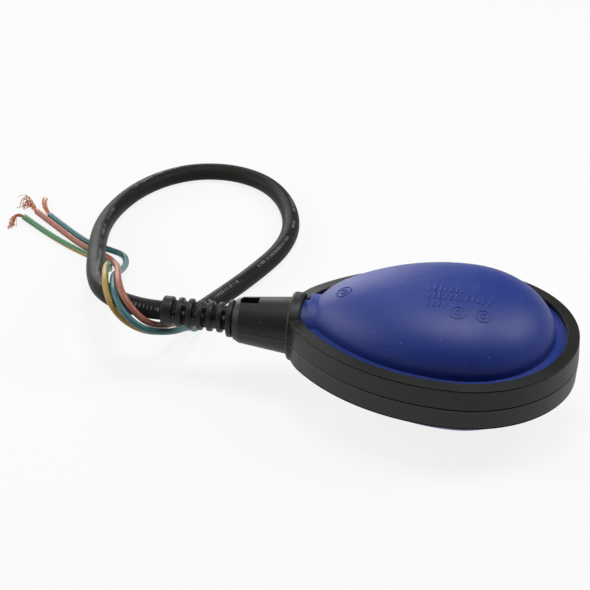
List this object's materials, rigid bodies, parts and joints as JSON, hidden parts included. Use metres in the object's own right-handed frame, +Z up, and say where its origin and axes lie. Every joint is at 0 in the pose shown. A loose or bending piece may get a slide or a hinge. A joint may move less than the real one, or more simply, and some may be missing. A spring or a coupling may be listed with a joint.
{
  "type": "cable float switch",
  "caption": "Egg-shaped float in a clamping frame, with a tilt-operated switch inside and a slotted strain relief that lets out a rubber cable with bare core ends.",
  "frame": {"origin": "middle of the clamping frame's length and width, on the surface that the float lies on", "axes": "+X from the cable neck to the float's nose, +Z up through the two half shells, +Y to the left when looking along +X"},
  "size_m": [0.3018, 0.2466, 0.0632],
  "materials": {
    "frame_plastic": "fine-grained black moulded plastic with a soft satin sheen",
    "float_plastic": "matte blue moulded plastic",
    "relief_rubber": "matte black rubber-like plastic",
    "seal_rubber": "matte soft rubber",
    "washer_plastic": "black nylon",
    "crimp_brass": "bare brass",
    "cable_rubber": "smooth dark rubber cable sheath",
    "brown_insulation": "smooth brown core insulation",
    "blue_insulation": "smooth blue core insulation",
    "green_insulation": "green core insulation with a yellow stripe",
    "copper": "bare copper strands",
    "carrier_plastic": "natural moulded plastic",
    "screw_steel": "plated steel",
    "ball_steel": "polished steel ball",
    "switch_plastic": "black moulded switch housing",
    "plunger_plastic": "red moulded plastic",
    "terminal_brass": "stamped brass"
  },
  "bodies": {
    "float": {"frame_upper": "frame_plastic", "frame_lower": "frame_plastic", "float_shell_upper": "float_plastic", "float_shell_lower": "float_plastic", "strain_relief": "relief_rubber", "cable_seal": "seal_rubber", "gland_washer": "washer_plastic", "crimp_ring": "crimp_brass", "cable": "cable_rubber", "brown_core": "brown_insulation", "blue_core": "blue_insulation", "green_core": "green_insulation", "brown_strands": "copper", "blue_strands": "copper", "green_strands": "copper", "brown_tail": "brown_insulation", "blue_tail": "blue_insulation", "green_tail": "green_insulation", "switch_carrier": "carrier_plastic", "carrier_screws": "screw_steel", "ball_tube": "carrier_plastic", "ball_tube_plug": "carrier_plastic", "switch_case": "switch_plastic", "switch_cover": "switch_plastic", "lever_pin": "screw_steel", "contact_blade": "terminal_brass", "terminal_common": "terminal_brass", "terminal_open": "terminal_brass", "terminal_closed": "terminal_brass"},
    "ball": {"ball": "ball_steel"},
    "lever": {"switch_lever": "screw_steel"},
    "plunger": {"switch_plunger": "plunger_plastic"}
  },
  "joints": [
    {"name": "ball_roll", "type": "slide", "parent": "float", "child": "ball", "axis": [1, 0, 0], "range_m": [0, 0.02]},
    {"name": "lever_swing", "type": "hinge", "parent": "float", "child": "lever", "pos_m": [0.0096, 0, 0.0226], "axis": [0, 1, 0], "range_deg": [0, 8]},
    {"name": "plunger_travel", "type": "slide", "parent": "float", "child": "plunger", "axis": [1, 0, 0], "range_m": [0, 0.0009]}
  ],
  "couplings": [
    {"joint": "lever_swing", "follows": "ball_roll", "rad_per_m": 6.98},
    {"joint": "plunger_travel", "follows": "ball_roll", "ratio": 0.045}
  ]
}
